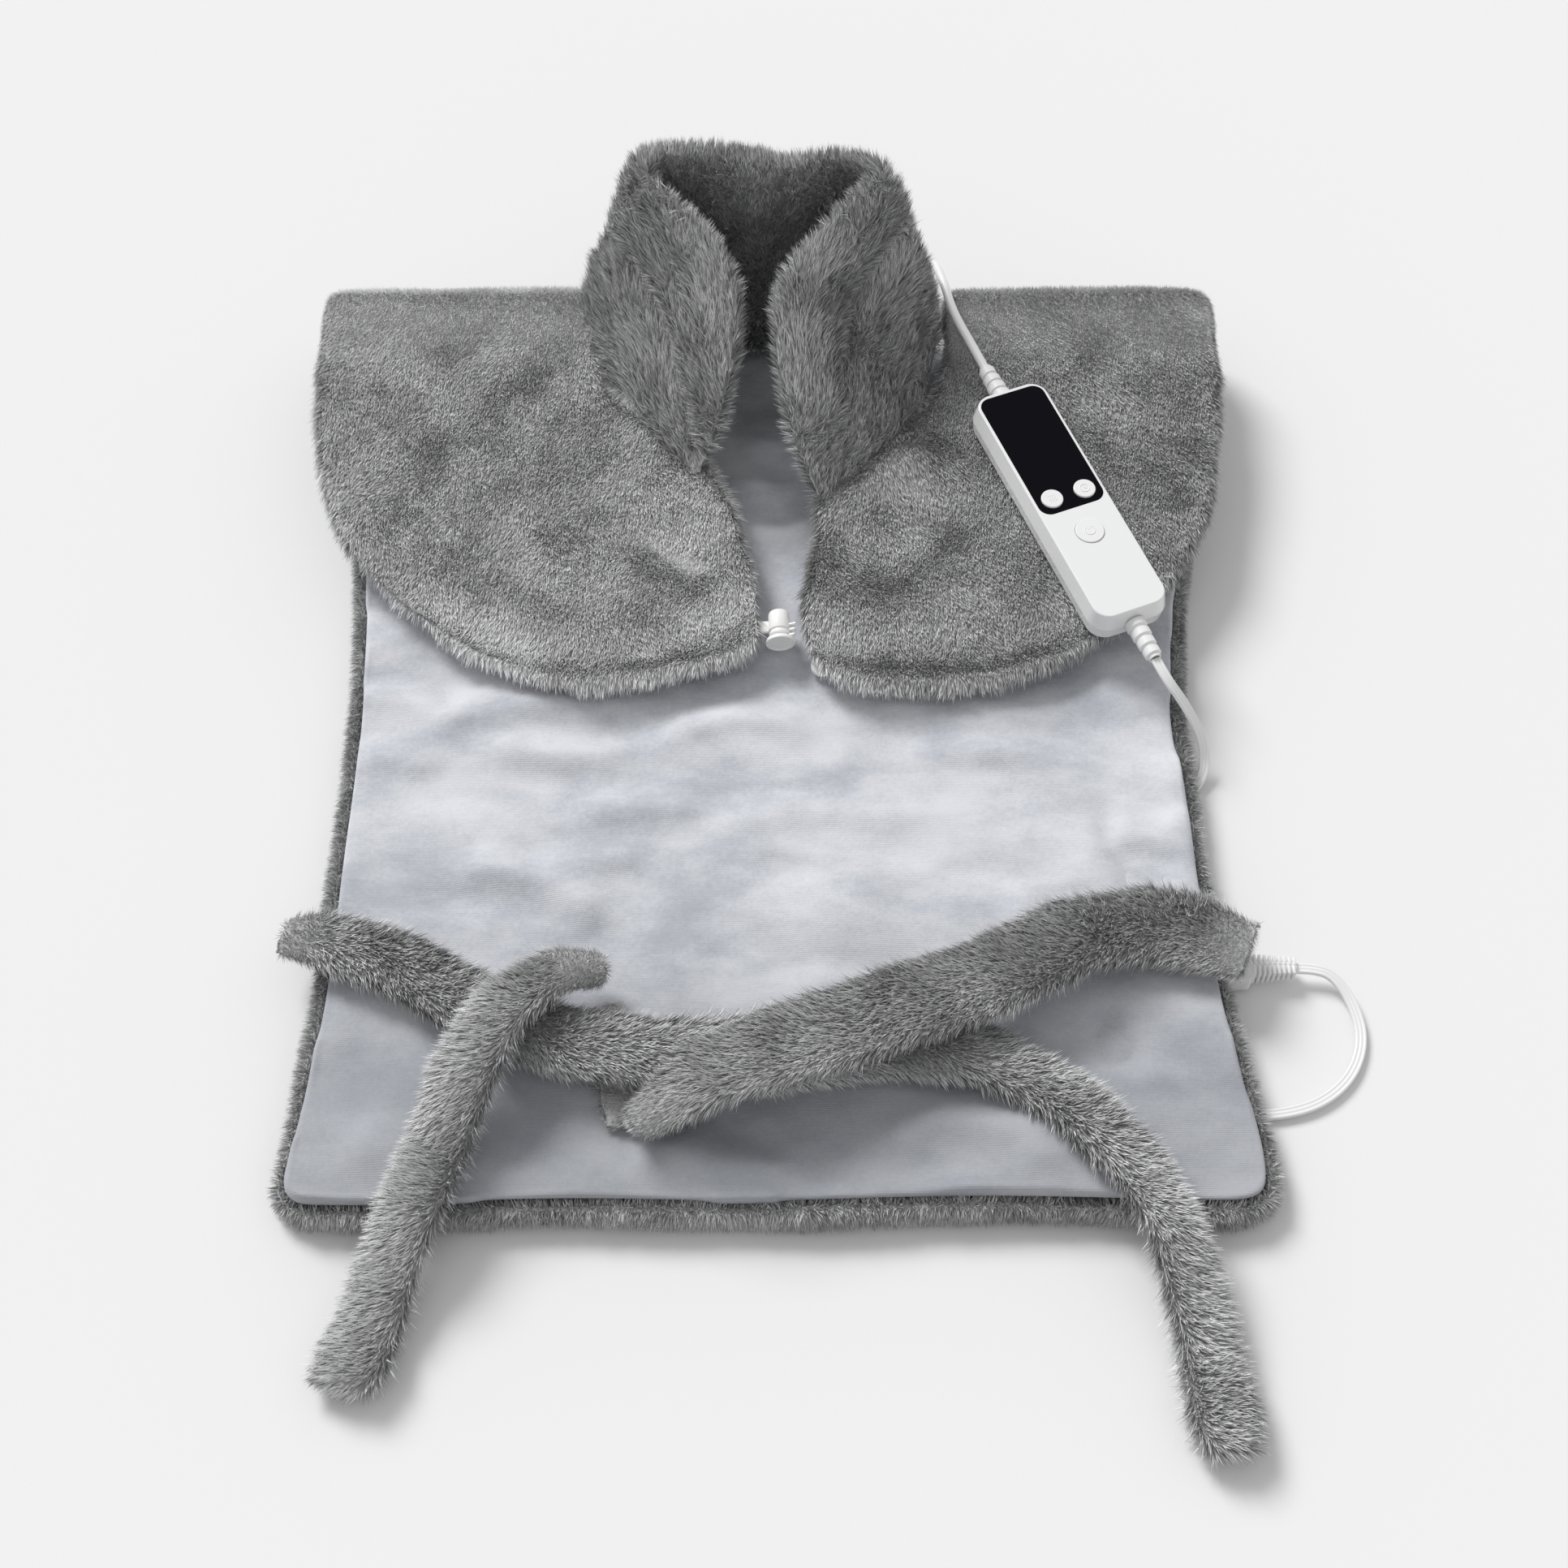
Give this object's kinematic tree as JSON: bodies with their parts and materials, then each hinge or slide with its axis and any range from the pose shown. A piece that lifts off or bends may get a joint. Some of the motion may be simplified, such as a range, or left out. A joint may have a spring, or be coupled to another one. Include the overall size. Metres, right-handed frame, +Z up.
{
  "type": "heated neck, shoulder and back wrap",
  "caption": "Plush heated neck, shoulder and back wrap with standing collar, front flaps, waist belts and a wired hand controller.",
  "frame": {"origin": "centre of the wrap, without its mains lead, on the surface that it lies on", "axes": "+Z up out of the lining, +Y from the waist hem to the collar, +X to the right seen from above with the collar away"},
  "size_m": [0.5987, 0.8453, 0.159],
  "materials": {
    "plush_fur": "short plush fur pile, brushed",
    "belt_fur": "longer plush fur pile",
    "velour_lining": "short-pile velour with a silvery sheen",
    "wadding": "needled polyester",
    "carrier_cloth": "non-woven",
    "heating_wire": "silicone insulated",
    "silicone_sleeve": "satin",
    "lead_white": "satin",
    "relief_white": "satin moulded",
    "tie_black": "hook-and-loop",
    "blade_brass": "plated",
    "clasp_white": "gloss",
    "shell_white": "fine satin gloss",
    "lens_black": "high gloss",
    "module_grey": "matte",
    "board_green": "solder mask",
    "screw_steel": "zinc plated",
    "button_white": "satin"
  },
  "bodies": {
    "root": {"back_shell": "plush_fur", "back_wadding": "wadding", "heating_carrier": "carrier_cloth", "back_lining": "velour_lining", "heating_wire": "heating_wire", "internal_lead": "heating_wire", "overheat_cutouts": "silicone_sleeve", "collar_back": "plush_fur", "collar_stiffener": "carrier_cloth", "neck_heating_wire": "heating_wire", "collar_left": "plush_fur", "collar_right": "plush_fur", "left_belt": "belt_fur", "right_belt": "belt_fur", "mains_lead_coil": "lead_white", "lead_tie": "tie_black", "plug_lead": "lead_white", "mains_plug": "relief_white", "plug_strain_relief": "relief_white", "plug_blades": "blade_brass", "loop_lead": "lead_white", "panel_socket": "shell_white", "socket_contacts": "blade_brass", "mains_lead": "lead_white"},
    "left_flap": {"left_flap": "plush_fur", "left_flap_lining": "velour_lining", "clasp_socket": "clasp_white"},
    "right_flap": {"right_flap": "plush_fur", "right_flap_lining": "velour_lining", "clasp_stud": "clasp_white", "controller_top_shell": "shell_white", "controller_bottom_shell": "shell_white", "display_lens": "lens_black", "display_module": "module_grey", "circuit_board": "board_green", "tact_switches": "module_grey", "board_components": "module_grey", "shell_screws": "screw_steel", "upper_strain_relief": "relief_white", "lower_strain_relief": "relief_white", "panel_lead": "lead_white"},
    "heat_button_body": {"heat_button": "button_white"},
    "timer_button_body": {"timer_button": "button_white"},
    "power_button_body": {"power_button": "button_white"},
    "connector": {"connector_plug": "relief_white", "connector_strain_relief": "relief_white"}
  },
  "joints": [
    {"name": "left_flap_lift", "type": "hinge", "parent": "root", "child": "left_flap", "pos_m": [-0.19, 0.352, 0.021], "axis": [-1, 0, 0], "range_deg": [0, 40], "deforming": ["collar_left"]},
    {"name": "right_flap_lift", "type": "hinge", "parent": "root", "child": "right_flap", "pos_m": [0.19, 0.352, 0.021], "axis": [-1, 0, 0], "range_deg": [0, 40], "deforming": ["collar_right", "mains_lead", "panel_lead"]},
    {"name": "heat_button_press", "type": "slide", "parent": "right_flap", "child": "heat_button_body", "axis": [-0.0265, 0.0645, -0.9976], "range_m": [0, 0.0008], "stiffness_N_per_m": 1200},
    {"name": "timer_button_press", "type": "slide", "parent": "right_flap", "child": "timer_button_body", "axis": [-0.0265, 0.0645, -0.9976], "range_m": [0, 0.0008], "stiffness_N_per_m": 1200},
    {"name": "power_button_press", "type": "slide", "parent": "right_flap", "child": "power_button_body", "axis": [-0.0265, 0.0645, -0.9976], "range_m": [0, 0.0008], "stiffness_N_per_m": 1200},
    {"name": "connector_pull", "type": "slide", "parent": "root", "child": "connector", "axis": [1, 0, 0], "range_m": [0, 0.021], "deforming": ["loop_lead"]}
  ]
}
